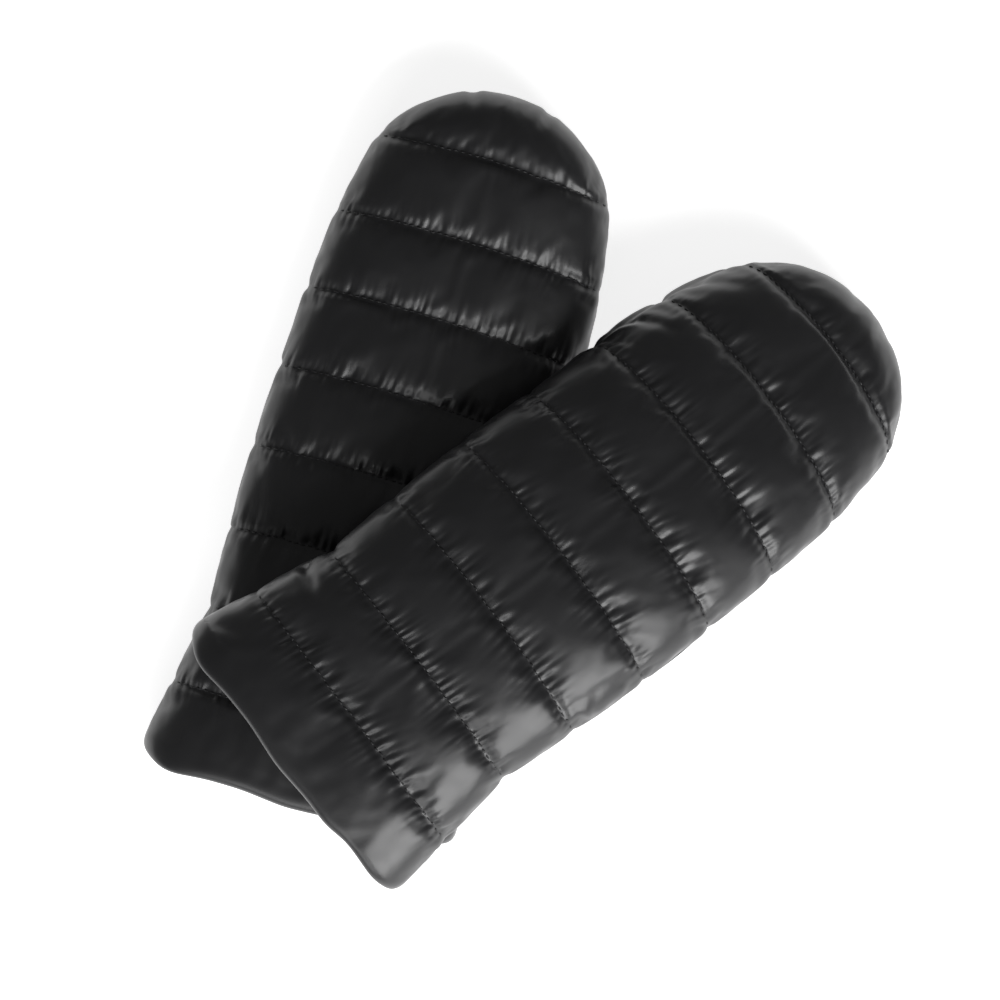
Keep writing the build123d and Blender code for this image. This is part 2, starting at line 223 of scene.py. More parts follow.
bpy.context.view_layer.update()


class Lay:
    """How one mitt lies: the frame of its cuff, its bend, and the side its thumb is on.

    stretch lengthens the mitt towards its tip, and shift moves it sideways to its left.
    """

    def __init__(self, name, apex, bend_radius, thumb_side, seed, stretch, shift):
        self.name = name
        self.body = f"{name}_mitt"
        self.thumb_body = f"{name}_thumb"
        self.apex = apex
        self.bend_radius = bend_radius
        self.thumb_side = thumb_side
        self.seed = seed
        self.stretch = stretch
        self.shift = shift
        mount = next(m for m in frame["record"]["mounts"] if m["name"] == f"{name}_cuff")
        self.cuff = np.array(mount["pos_m"])
        self.along = -np.array(mount["axis"])
        self.left = np.array([-self.along[1], self.along[0], 0.0])
        joint = next(j for j in frame["joints"] if j["name"] == f"{name}_thumb_swing")
        self.pivot = np.array(joint["pos_m"])
        self.thumb_up = np.array(joint["axis"]) * thumb_side

    def place(self, local):
        """Points of the mitt's own space (s, y, z), in the shared frame."""
        s, y, z = np.asarray(local, float).T
        up = np.array([0.0, 0.0, 1.0])
        if self.bend_radius:
            turn = np.maximum(0.0, s - self.apex) / self.bend_radius
            run = np.minimum(s, self.apex) + self.bend_radius * np.sin(turn)
            drop = self.bend_radius * (1 - np.cos(turn))
        else:
            turn, run, drop = np.zeros_like(s), s, np.zeros_like(s)
        run = run + self.stretch * np.maximum(0.0, s - STRETCH_START)
        rise = z - MIDDLE
        along = (run + rise * np.sin(turn))[:, None] * self.along
        height = (MIDDLE - drop + rise * np.cos(turn))[:, None] * up
        return self.cuff + along + height + (y + self.shift)[:, None] * self.left


LOWER = Lay("lower", apex=0.0, bend_radius=None, thumb_side=1, seed=11, stretch=0.0, shift=1.0 * MM)
UPPER = Lay("upper", apex=78 * MM, bend_radius=470 * MM, thumb_side=-1, seed=23, stretch=0.05, shift=0.0)


# ---------------------------------------------------------------- shape of the quilted skin

def smooth_step(x):
    """0 up to 0 and 1 from 1 on, with an even rise between."""
    x = np.clip(x, 0, 1)
    return x * x * (3 - 2 * x)


def bulge(v):
    """0 at both seams of a channel and 1 in its middle."""
    return np.sqrt(np.maximum(0.0, 1 - np.abs(2 * v - 1) ** CHANNEL_POWER))


def channel_of(s):
    """Each place's channel number and its share of the way through that channel."""
    number = np.clip(np.searchsorted(SEAMS, s, side="right"), 0, len(SEAMS) - 1)
    start, end = STOPS[number], STOPS[number + 1]
    return number, np.clip((s - start) / (end - start), 0, 1)


def half_width(s):
    """Half the mitt's width at s, fuller between the seams."""
    _, share = channel_of(s)
    return np.interp(s, STOPS, HALF_WIDTHS) + SIDE_PUFF * bulge(share)


def crown(r, rounding):
    """A cross-section's height over its half width, both from 0 to 1."""
    return np.maximum(0.0, 1 - np.abs(r) ** rounding) ** (1 / rounding)


def even_columns(width, height, count, rounding):
    """Shares of the half width that are evenly spaced along the cross-section's outline."""
    angle = np.linspace(0, math.pi, 721)
    y = np.sign(np.cos(angle)) * np.abs(np.cos(angle)) ** (2 / rounding)
    z = np.abs(np.sin(angle)) ** (2 / rounding)
    step = np.hypot(np.diff(y * width), np.diff(z * height))
    run = np.concatenate([[0], np.cumsum(step)])
    return np.interp(np.linspace(0, run[-1], count + 1), run, y)


def row_stations():
    """The rows of the hand, with one on each seam, and none too near another."""
    rows = [0.0]
    for start, end in zip(STOPS, STOPS[1:]):
        count = max(2, round((end - start) / CELL))
        rows += list(np.linspace(start, end, count + 1)[1:])
    return np.array(rows)


def cuff_wave(y):
    """How far the cuff's edge wanders along the mitt on its way across."""
    return np.mean([np.interp(y + shift, CUFF_SPOTS, CUFF_WAVES) for shift in CUFF_SOFTENING], axis=0)


def bow(s, r):
    """How much further along a row is in the middle of the mitt than at its sides."""
    return SEAM_BOW * np.minimum(1.0, s / BOW_START) * (1 - np.clip(r, -1, 1) ** 2)


def unbow(s, r):
    """The row that a place with its bow belongs to."""
    most = SEAM_BOW * (1 - np.clip(r, -1, 1) ** 2)
    return np.where(s < BOW_START + most, s / (1 + most / BOW_START), s - most)


def mouth_section(width, r, sign):
    """The cuff's inner edge: a flat slot."""
    y = (width - MOUTH_INSET) * r
    return y, MOUTH_MIDDLE + sign * MOUTH_HALF_HEIGHT * crown(r, MOUTH_ROUNDING)


def overhang(lay, s, y):
    """How far the palm's fabric swells out past the side seam."""
    if lay is LOWER:
        return np.full_like(s, PALM_OVERHANG)
    rise, fall = (s - RUFFLE_START) / RUFFLE_RISE, (RUFFLE_END - s) / RUFFLE_FALL
    return PALM_OVERHANG + RUFFLE * smooth_step(rise) * smooth_step(fall) * (y > 0)


def panel(lay, back):
    """One side of the mitt as a grid: its points in the mitt's own space, and its faces."""
    rounding = BACK_ROUNDING if back else PALM_ROUNDING
    columns = BACK_COLUMNS if back else PALM_COLUMNS
    at_seam, at_crest = (BACK_AT_SEAM, BACK_AT_CREST) if back else (PALM_AT_SEAM, PALM_AT_CREST)
    sign = 1 if back else -1
    share_y = even_columns(NOMINAL_HALF_WIDTH, at_crest, columns, rounding)
    rows = row_stations()
    rows = np.concatenate([np.full(HEM_ROWS, HEM), rows[rows > HEM + 0.5 * CELL]])
    s, r = np.meshgrid(rows, share_y, indexing="ij")
    _, v = channel_of(s)
    height = at_seam + (at_crest - at_seam) * bulge(v)
    y = half_width(s) * r
    z = SIDE_SEAM + sign * height * crown(r, rounding)

    # the turned-in cuff: from inside the mouth, round its end, to the outside
    turn = np.linspace(math.pi, 0, HEM_ROWS)[:, None]
    inner_y, inner_z = mouth_section(half_width(HEM), r[:HEM_ROWS], sign)
    inward = ((1 - np.cos(turn)) / 2) ** HEM_ROLL
    y[:HEM_ROWS] += (inner_y - y[:HEM_ROWS]) * inward
    z[:HEM_ROWS] += (inner_z - z[:HEM_ROWS]) * inward
    s[:HEM_ROWS] = HEM * (1 - np.sin(turn))
    s = s + bow(s, r) + cuff_wave(y) * np.exp(-s / CUFF_FADE)
    if not back:
        ruffle = overhang(lay, s, y) * bulge(channel_of(s)[1])
        low = crown(r, rounding)
        y = y + np.sign(y) * ruffle * 4 * low * (1 - low)
    points = [np.stack([s, y, z], -1).reshape(-1, 3)]
    count = len(share_y)
    faces = [grid_faces(np.arange(len(rows) * count).reshape(len(rows), count), sign)]

    # the rounded tip: a half disc whose first row is the last seam
    reach = LENGTH - SEAMS[-1]
    t = even_columns(reach, at_crest, 2 * TIP_ROWS, rounding)[TIP_ROWS::-1][1:]
    t = np.abs(t)
    v, u = np.meshgrid(t, share_y, indexing="ij")
    radius = np.sqrt(np.clip(u * u + v * v - u * u * v * v, 0, 1))
    x = v * np.sqrt(1 - u * u / 2)
    width = HALF_WIDTHS[-1] + TIP_PUFF * np.minimum(1, x * 3)
    width = width * np.sqrt((1 + TIP_FLARE * x) / (1 + x))
    y = width * u * np.sqrt(1 - v * v / 2)
    rise = 1 - np.minimum(1.0, x / TIP_CREST)
    height = at_seam + (at_crest - at_seam) * np.sqrt(np.maximum(0, 1 - rise ** CHANNEL_POWER))
    z = SIDE_SEAM + sign * height * crown(radius, rounding)
    s = SEAMS[-1] + reach * x + bow(SEAMS[-1], u) * (1 - v * v)
    first = len(points[0])
    points.append(np.stack([s, y, z], -1).reshape(-1, 3))
    joined = np.vstack([
        np.arange(first - count, first),
        (first + np.arange(len(t) * count)).reshape(len(t), count),
    ])
    faces.append(grid_faces(joined, sign))
    return np.vstack(points), np.vstack(faces)


def grid_faces(index, sign):
    """Quads of a grid of point numbers, turned over for sign -1."""
    a, b, c, d = index[:-1, :-1], index[:-1, 1:], index[1:, 1:], index[1:, :-1]
    quads = np.stack([a, b, c, d] if sign > 0 else [a, d, c, b], -1)
    return quads.reshape(-1, 4)


def new_object(name, points, faces, smooth=True):
    """A mesh object in the scene, from lists of points and faces."""
    mesh = bpy.data.meshes.new(name)
    mesh.from_pydata([tuple(p) for p in points], [], [tuple(f) for f in faces])
    mesh.validate()
    mesh.update()
    piece = bpy.data.objects.new(name, mesh)
    bpy.context.scene.collection.objects.link(piece)
    if smooth:
        mesh.polygons.foreach_set("use_smooth", np.ones(len(mesh.polygons), bool))
    return piece


def positions(piece):
    co = np.empty(len(piece.data.vertices) * 3)
    piece.data.vertices.foreach_get("co", co)
    return co.reshape(-1, 3)


def set_positions(piece, points):
    piece.data.vertices.foreach_set("co", np.asarray(points, float).ravel())
    piece.data.update()


def normals(piece):
    no = np.empty(len(piece.data.vertices) * 3)
    piece.data.vertices.foreach_get("normal", no)
    return no.reshape(-1, 3)


def put_value(piece, name, values):
    """Keeps one number for each point of the piece, under a name."""
    layer = piece.data.attributes.get(name) or piece.data.attributes.new(name, "FLOAT", "POINT")
    layer.data.foreach_set("value", np.asarray(values, np.float32))


def get_value(piece, name):
    values = np.empty(len(piece.data.vertices), np.float32)
    piece.data.attributes[name].data.foreach_get("value", values)
    return values.astype(float)


def apply_modifiers(piece):
    depsgraph = bpy.context.evaluated_depsgraph_get()
    mesh = bpy.data.meshes.new_from_object(piece.evaluated_get(depsgraph))
    old = piece.data
    piece.modifiers.clear()
    piece.data = mesh
    bpy.data.meshes.remove(old)


def seam_distance(s, r):
    """Signed distance past the nearest quilting seam, and that seam's number."""
    flat = unbow(s, r)
    nearest = np.abs(flat[:, None] - SEAMS[None, :]).argmin(1)
    return flat - SEAMS[nearest], nearest


# ---------------------------------------------------------------- gathers along the seams

def arches(rng, spacing, span, step):
    """A row of rounded ridges between sharp valleys, of uneven width and height."""
    where = [-span]
    while where[-1] < span:
        where.append(where[-1] + spacing * rng.uniform(*RIDGE_WIDTHS))
    where = np.array(where)
    tall = rng.uniform(*RIDGE_HEIGHTS, len(where))
    x = np.arange(-span, span, step)
    cell = np.clip(np.searchsorted(where, x, side="right") - 1, 0, len(where) - 2)
    share = (x - where[cell]) / (where[cell + 1] - where[cell])
    return x, tall[cell] * (1 - (2 * share - 1) ** 2)


def gathers(lay, s, y, r, palm):
    """How far the fabric stands out at each point because its seams gather it."""
    rng = np.random.default_rng(lay.seed + (100 if palm else 0))
    away, seam = seam_distance(s, r)
    out = np.zeros(len(s))
    for number in range(len(SEAMS)):
        for side in (-1, 1):
            here = (seam == number) & (np.sign(away) == side)
            d = np.abs(away[here])
            tight = SEAM_TIGHTNESS[number] * (CUFF_SIDE_SHARE if side < 0 else 1.0)
            for spacing, reach, height in GATHERS:
                x, ridge = arches(rng, spacing, GATHER_SPAN, GATHER_STEP)
                slant = rng.uniform(-MOST_SLANT, MOST_SLANT)
                fade = np.exp(-(d / reach) ** GATHER_FALL) * (1 - np.exp(-d / GATHER_START))
                ridges = np.interp(y[here] + slant * d, x, ridge) - GATHER_MEAN
                out[here] += height * tight * fade * ridges
    return out


def creases(lay, s, y, z):
    """The few deeper folds of each mitt's back: grooves that fade out inward."""
    out = np.zeros(len(s))
    for s0, y0, s1, y1, width, depth in CREASES[lay.name]:
        along, across = s1 - s0, y1 - y0
        length = math.hypot(along, across) * MM
        x = ((s - s0 * MM) * along + (y - y0 * MM) * across) * MM / length
        d = ((y - y0 * MM) * along - (s - s0 * MM) * across) * MM / length / (width * MM)
        d = d - CREASE_SWAY * np.sin(x / length * CREASE_TURNS)
        fade = smooth_step(1 - x / length) * smooth_step(1 + 2 * x / length)
        lips = LIP_HEIGHT * np.exp(-((np.abs(d) - LIP_AT) / LIP_WIDTH) ** 2)
        out += depth * MM * fade * (lips - np.exp(-d * d))
    return out * smooth_step((z - SIDE_SEAM) / CREASE_FADE)


# ---------------------------------------------------------------- the skin as one mesh

def skin(lay):
    """Back and palm as one closed skin, with the attributes that later steps need."""
    back_points, back_faces = panel(lay, True)
    palm_points, palm_faces = panel(lay, False)
    local = np.vstack([back_points, palm_points])
    faces = [tuple(f) for f in back_faces] + [tuple(f + len(back_points)) for f in palm_faces]
    piece = new_object(f"{lay.name}_skin", lay.place(local), faces)
    put_value(piece, "s", local[:, 0])
    put_value(piece, "y", local[:, 1])
    put_value(piece, "z", local[:, 2])
    put_value(piece, "palm", np.arange(len(local)) >= len(back_points))
    put_value(piece, "r", local[:, 1] / half_width(local[:, 0]))
    work = bmesh.new()
    work.from_mesh(piece.data)
    bmesh.ops.remove_doubles(work, verts=work.verts, dist=WELD)
    work.to_mesh(piece.data)
    work.free()
    local = np.stack([get_value(piece, name) for name in ("s", "y", "z")], -1)
    return piece, local


def pinned_weights(local, s, y):
    """1 on every seam, at the side seam and at the cuff, where the fabric is held."""
    away, _ = seam_distance(s, np.clip(y / half_width(s), -1, 1))
    held = (np.abs(away) < HELD_BY_SEAM) | (s < HELD_BY_CUFF)
    at_side = np.abs(local[:, 2] - SIDE_SEAM) < HELD_BY_SIDE
    return (held | at_side).astype(float)


def inflate(piece, local):
    """The fabric swells and wrinkles between its seams, by cloth simulation."""
    s, y = get_value(piece, "s"), get_value(piece, "y")
    weights = pinned_weights(local, s, y)
    group = piece.vertex_groups.new(name="held")
    for index in np.nonzero(weights > 0)[0]:
        group.add([int(index)], float(weights[index]), "REPLACE")
    before = positions(piece)
    cloth = piece.modifiers.new("cloth", "CLOTH")
    settings = cloth.settings
    settings.quality = 5
    settings.mass = 0.15
    settings.tension_stiffness = 25
    settings.compression_stiffness = 25
    settings.shear_stiffness = 8
    settings.bending_stiffness = 0.6
    settings.use_pressure = True
    settings.uniform_pressure_force = 2.0
    settings.shrink_min = -0.035
    settings.vertex_group_mass = "held"
    settings.pin_stiffness = 1.0
    settings.effector_weights.gravity = 0
    cloth.collision_settings.use_collision = False
    cloth.collision_settings.use_self_collision = False
    cloth.point_cache.frame_start = 1
    cloth.point_cache.frame_end = CLOTH_FRAMES
    for number in range(1, CLOTH_FRAMES + 1):
        bpy.context.scene.frame_set(number)
    apply_modifiers(piece)
    piece.vertex_groups.clear()
    moved = positions(piece) - before
    length = np.linalg.norm(moved, axis=1)
    away, _ = seam_distance(s, np.clip(y / half_width(s), -1, 1))
    share = FOLDS_INSIDE + (1 - FOLDS_INSIDE) * np.exp(-(np.abs(away) / FOLD_REACH) ** 2)
    share *= np.minimum(1, MOST_FOLD / np.maximum(length, 1e-9))
    moved *= share[:, None]
    set_positions(piece, before + moved)
    bpy.context.scene.frame_set(1)


def refine(piece, levels):
    """Subdivides the piece into a smooth, finer mesh."""
    divide = piece.modifiers.new("divide", "SUBSURF")
    divide.levels = divide.render_levels = levels
    divide.boundary_smooth = "PRESERVE_CORNERS"
    apply_modifiers(piece)


def keep_faces(piece, name, keep):
    """A copy of the piece with only some of its faces."""
    copy = piece.copy()
    copy.data = piece.data.copy()
    copy.name = copy.data.name = name
    bpy.context.scene.collection.objects.link(copy)
    work = bmesh.new()
    work.from_mesh(copy.data)
    work.faces.ensure_lookup_table()
    bmesh.ops.delete(work, geom=[f for f, k in zip(work.faces, keep) if not k], context="FACES")
    work.to_mesh(copy.data)
    work.free()
    return copy


def face_is_palm(piece):
    """True for each face that lies on the palm side."""
    palm = get_value(piece, "palm")
    loops = np.empty(len(piece.data.loops), int)
    piece.data.loops.foreach_get("vertex_index", loops)
    return palm[loops].reshape(-1, 4).mean(1) > 0.5


# ---------------------------------------------------------------- materials

def material(name):
    """A new material, with its nodes, its links and its shader."""
    made = bpy.data.materials.new(name)
    made.use_nodes = True
    return made, made.node_tree.nodes, made.node_tree.links, made.node_tree.nodes["Principled BSDF"]


def node(nodes, kind, **values):
    """A new node, with values for its inputs or its settings."""
    made = nodes.new(kind)
    for key, value in values.items():
        if key in made.inputs:
            made.inputs[key].default_value = value
        else:
            setattr(made, key.lower(), value)
    return made


def nylon(name, base, roughness):
    """Glossy coated nylon: a fine weave, small crinkles and a slow change of gloss."""
    made, nodes, links, shader = material(name)
    shader.inputs["Base Color"].default_value = (*base, 1)
    shader.inputs["Roughness"].default_value = roughness
    shader.inputs["Specular IOR Level"].default_value = 0.5
    shader.inputs["Coat Weight"].default_value = 0.15
    shader.inputs["Coat Roughness"].default_value = 0.24
    place = nodes.new("ShaderNodeTexCoord")
    crinkle = node(nodes, "ShaderNodeTexNoise", Scale=260.0, Detail=4.0, Roughness=0.6, Distortion=0.4)
    broad = node(nodes, "ShaderNodeTexNoise", Scale=55.0, Detail=3.0, Roughness=0.55)
    weave_x = node(nodes, "ShaderNodeTexWave", Scale=520.0, bands_direction="X")
    weave_y = node(nodes, "ShaderNodeTexWave", Scale=520.0, bands_direction="Y")
    for texture in (crinkle, broad, weave_x, weave_y):
        links.new(place.outputs["Object"], texture.inputs["Vector"])
    weave = node(nodes, "ShaderNodeMath", operation="MULTIPLY")
    links.new(weave_x.outputs["Fac"], weave.inputs[0])
    links.new(weave_y.outputs["Fac"], weave.inputs[1])
    spread = node(nodes, "ShaderNodeMapRange")
    spread.inputs["To Min"].default_value = roughness - 0.07
    spread.inputs["To Max"].default_value = roughness + 0.12
    links.new(broad.outputs["Fac"], spread.inputs["Value"])
    links.new(spread.outputs["Result"], shader.inputs["Roughness"])
    low = node(nodes, "ShaderNodeBump", Strength=0.35, Distance=0.0003)
    fine = node(nodes, "ShaderNodeBump", Strength=0.3, Distance=0.00008)
    cloth = node(nodes, "ShaderNodeBump", Strength=0.25, Distance=0.00004)
    links.new(broad.outputs["Fac"], low.inputs["Height"])
    links.new(crinkle.outputs["Fac"], fine.inputs["Height"])
    links.new(weave.outputs["Value"], cloth.inputs["Height"])
    links.new(low.outputs["Normal"], fine.inputs["Normal"])
    links.new(fine.outputs["Normal"], cloth.inputs["Normal"])
    links.new(cloth.outputs["Normal"], shader.inputs["Normal"])
    return made


def knit(name, color):
    """Matt brushed knit with a short pile."""
    made, nodes, links, shader = material(name)
    shader.inputs["Base Color"].default_value = (*color, 1)
    shader.inputs["Roughness"].default_value = 0.95
    shader.inputs["Sheen Weight"].default_value = 0.4
    place = nodes.new("ShaderNodeTexCoord")
    pile = node(nodes, "ShaderNodeTexNoise", Scale=900.0, Detail=3.0)
    tint = node(nodes, "ShaderNodeValToRGB")
    tint.color_ramp.elements[0].color = (*[0.5 * c for c in color], 1)
    tint.color_ramp.elements[1].color = (*[1.6 * c for c in color], 1)
    bump = node(nodes, "ShaderNodeBump", Strength=0.6, Distance=0.0004)
    links.new(place.outputs["Object"], pile.inputs["Vector"])
    links.new(pile.outputs["Fac"], tint.inputs["Fac"])
    links.new(tint.outputs["Color"], shader.inputs["Base Color"])
    links.new(pile.outputs["Fac"], bump.inputs["Height"])
    links.new(bump.outputs["Normal"], shader.inputs["Normal"])
    return made


def twisted_thread(name):
    """Black sewing thread with a twist along it."""
    made, nodes, links, shader = material(name)
    shader.inputs["Base Color"].default_value = (0.012, 0.012, 0.013, 1)
    shader.inputs["Roughness"].default_value = 0.45
    place = nodes.new("ShaderNodeTexCoord")
    twist = node(nodes, "ShaderNodeTexWave", Scale=1500.0, Distortion=1.0, bands_direction="DIAGONAL")
    bump = node(nodes, "ShaderNodeBump", Strength=0.5, Distance=0.0001)
    links.new(place.outputs["Object"], twist.inputs["Vector"])
    links.new(twist.outputs["Fac"], bump.inputs["Height"])
    links.new(bump.outputs["Normal"], shader.inputs["Normal"])
    return made


NYLON = nylon("black_nylon", (0.0105, 0.0105, 0.0115), 0.385)
KNIT = knit("brushed_knit", (0.03, 0.03, 0.032))
ELASTIC = knit("woven_elastic", (0.6, 0.6, 0.58))
THREAD = twisted_thread("sewing_thread")


# ---------------------------------------------------------------- stitches

def stitches(name, middles, directions, ups):
    """Short capsules of thread, one for each stitch."""
    sides = STITCH_SIDES
    around = np.linspace(0, 2 * math.pi, sides, endpoint=False)
    stops = STITCH_STOPS * STITCH_LENGTH / 2
    sizes = STITCH_SIZES * STITCH_RADIUS
    points, faces = [], []
    for middle, direction, up in zip(middles, directions, ups):
        side = np.cross(direction, up)
        first = len(points)
        for stop, size in zip(stops, sizes):
            centre = middle + direction * stop - up * (0.5 * STITCH_RADIUS * (stop / stops[-1]) ** 2)
            for angle in around:
                points.append(centre + size * (side * math.cos(angle) + up * math.sin(angle)))
        for ring in range(len(stops) - 1):
            for k in range(sides):
                a, b = first + ring * sides + k, first + ring * sides + (k + 1) % sides
                faces.append((a, b, b + sides, a + sides))
        faces.append(tuple(first + k for k in reversed(range(sides))))
        faces.append(tuple(first + (len(stops) - 1) * sides + k for k in range(sides)))
    return new_object(name, points, faces)


def seam_stitches(lay, piece, name, palm):
    """Stitches laid on the finished surface of a back or palm, along each seam."""
    s, y = get_value(piece, "s"), get_value(piece, "y")
    where, up = positions(piece), normals(piece)
    middles, directions, ups = [], [], []
    for seam in SEAMS:
        away, _ = seam_distance(s, y / half_width(s))
        near = np.nonzero((np.abs(away) < SEAM_BAND) & (np.abs(s - seam) < SAME_SEAM))[0]
        width = np.interp(seam, STOPS, HALF_WIDTHS)
        across = np.arange(-width + SEAM_END_GAP, width - SEAM_END_GAP, STITCH_PITCH)
        line = []
        for place in across:
            target_s = seam + bow(seam, place / width)
            gap = np.hypot(s[near] - target_s, y[near] - place)
            closest = near[np.argsort(gap)[:4]]
            line.append((where[closest].mean(0), up[closest].mean(0)))
        spots = np.array([p for p, _ in line])
        tangent = np.gradient(spots, axis=0)
        tangent /= np.linalg.norm(tangent, axis=1)[:, None]
        rise = np.array([n for _, n in line])
        rise -= tangent * (rise * tangent).sum(1)[:, None]
        rise /= np.linalg.norm(rise, axis=1)[:, None]
        if palm:
            keep = pocket_depth(lay, np.full(len(across), seam), across) > POCKET_EDGE
            spots, tangent, rise = spots[keep], tangent[keep], rise[keep]
        middles += list(spots + rise * STITCH_LIFT)
        directions += list(tangent)
        ups += list(rise)
    made = stitches(name, middles, directions, ups)
    made.data.materials.append(THREAD)
    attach(made, lay.body)
    return made


# ---------------------------------------------------------------- the thumb's room and the floor

def capsule_distance(x, y, end_x, end_y, radius, end_radius):
    """Distance outside a round-ended bar whose radius changes along it."""
    length2 = end_x ** 2 + end_y ** 2
    share = np.clip((x * end_x + y * end_y) / length2, 0, 1)
    return np.hypot(x - share * end_x, y - share * end_y) - (radius + (end_radius - radius) * share)


def pocket_depth(lay, s, y):
    """Distance outside the room under the palm that the thumb sweeps through."""
    x = s - THUMB_S
    out = (y - THUMB_SIDE * lay.thumb_side) * lay.thumb_side
    reach = THUMB_REACH + THUMB_TIP
    fields = []
    for angle in (-THUMB_TUCK, THUMB_SWING - THUMB_TUCK):
        end = (THUMB_REACH * math.cos(angle), THUMB_REACH * math.sin(angle))
        fields.append(capsule_distance(x, out, *end, THUMB_ROOT, THUMB_TIP))
    angle = np.arctan2(out, x)
    inside = (angle > -THUMB_TUCK) & (angle < THUMB_SWING - THUMB_TUCK)
    fields.append(np.where(inside, np.hypot(x, out) - reach, 1.0))
    return np.minimum.reduce(fields) - POCKET_CLEARANCE


def raise_pocket(lay, piece):
    """Lifts the palm's underside off the room that the thumb needs."""
    s, y, palm = get_value(piece, "s"), get_value(piece, "y"), get_value(piece, "palm")
    where = positions(piece)
    share = smooth_step(1 - pocket_depth(lay, s, y) / POCKET_EDGE)
    roof = np.full(len(s), POCKET_ROOF)
    if lay.bend_radius:
        roof += (s - THUMB_PLANE_S) ** 2 / (2 * lay.bend_radius)
    flat = lay.place(np.stack([s, y, roof], -1))
    below = (palm > 0.5) & (where[:, 2] < flat[:, 2]) & (share > 0)
    where[below] += (flat[below] - where[below]) * share[below][:, None]
    set_positions(piece, where)


def keep_between(lay, piece, least, most):
    """Presses the skin flat where it would pass the floor or the other mitt."""
    s, y = get_value(piece, "s"), get_value(piece, "y")
    where = positions(piece)
    under = lay.place(np.stack([s, y, np.full(len(s), least)], -1))[:, 2]
    over = lay.place(np.stack([s, y, np.full(len(s), most)], -1))[:, 2]
    where[:, 2] = np.clip(where[:, 2], np.maximum(under, FLOOR_GAP), over)
    set_positions(piece, where)


# ---------------------------------------------------------------- cuff facing and lining

def slot_tube(name, stations, widths, lay, inset, half_height):
    """A flat tube along the hand cavity, seen from inside, shut if its last width is small."""
    count = TUBE_SIDES
    angle = np.linspace(0, 2 * math.pi, count, endpoint=False)
    across = np.sign(np.cos(angle)) * np.abs(np.cos(angle)) ** TUBE_SQUARENESS
    up = np.sign(np.sin(angle)) * np.abs(np.sin(angle)) ** TUBE_SQUARENESS
    points = []
    for s, width in zip(stations, widths):
        height = half_height * min(1.0, width / TUBE_FULL_HEIGHT_AT)
        ring = np.stack([np.full(count, s), (width - inset) * across, MOUTH_MIDDLE + height * up], -1)
        points.append(lay.place(ring))
    faces = []
    for row in range(len(stations) - 1):
        for k in range(count):
            a, b = row * count + k, row * count + (k + 1) % count
            faces.append((a, a + count, b + count, b))
    if widths[-1] < TUBE_SHUT_BELOW:
        last = (len(stations) - 1) * count
        faces.append(tuple(last + k for k in reversed(range(count))))
    return new_object(name, np.vstack(points), faces)


def thicken(piece, thickness):
    """Gives a sheet its wall, half on each side."""
    solid = piece.modifiers.new("wall", "SOLIDIFY")
    solid.thickness = thickness
    solid.offset = 0
    apply_modifiers(piece)


def inner_layers(lay):
    """The turned-in facing and the lining bag inside it."""
    stops = np.linspace(FACING_START, FACING_DEPTH, FACING_RINGS)
    widths = half_width(stops) - MOUTH_INSET
    name = f"{lay.name}_cuff_facing_fabric"
    facing = slot_tube(name, stops, widths, lay, -FACING_THICKNESS, MOUTH_HALF_HEIGHT)
    thicken(facing, FACING_THICKNESS)
    facing.data.materials.append(NYLON)
    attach(facing, lay.body)
    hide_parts(f"{lay.name}_cuff_facing")

    closer = np.sin(np.linspace(0, math.pi / 2, BAG_END_RINGS))
    stops = np.concatenate([
        np.arange(BAG_START, BAG_EVEN_END, BAG_STEP),
        BAG_EVEN_END + (LINING_END - BAG_EVEN_END) * closer,
    ])
    end = np.clip((stops - BAG_ROUND_START) / (BAG_ROUND_END - BAG_ROUND_START), 0, 1)
    full = half_width(np.minimum(stops, BAG_ROUND_START)) - MOUTH_INSET
    widths = full * np.sqrt(1 - end * end)
    half_height = MOUTH_HALF_HEIGHT + 0.5 * LINING_THICKNESS
    bag = slot_tube(f"{lay.name}_lining_bag", stops, widths, lay, 0.0, half_height)
    thicken(bag, LINING_THICKNESS)
    bag.data.materials.append(KNIT)
    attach(bag, lay.body)
    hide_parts(f"{lay.name}_lining")


# ---------------------------------------------------------------- thumbs

def thumb_half_width(x):
    """Half width of the thumb's outline at x from its pivot, towards its tip."""
    lean = math.asin((THUMB_ROOT - THUMB_TIP) / THUMB_REACH)
    near, far = THUMB_ROOT * math.sin(lean), THUMB_REACH + THUMB_TIP * math.sin(lean)
    straight = THUMB_ROOT / math.cos(lean) - x * math.tan(lean)
    root = np.sqrt(np.maximum(0, THUMB_ROOT ** 2 - x ** 2))
    tip = np.sqrt(np.maximum(0, THUMB_TIP ** 2 - (x - THUMB_REACH) ** 2))
    return np.where(x < near, root, np.where(x > far, tip, straight))


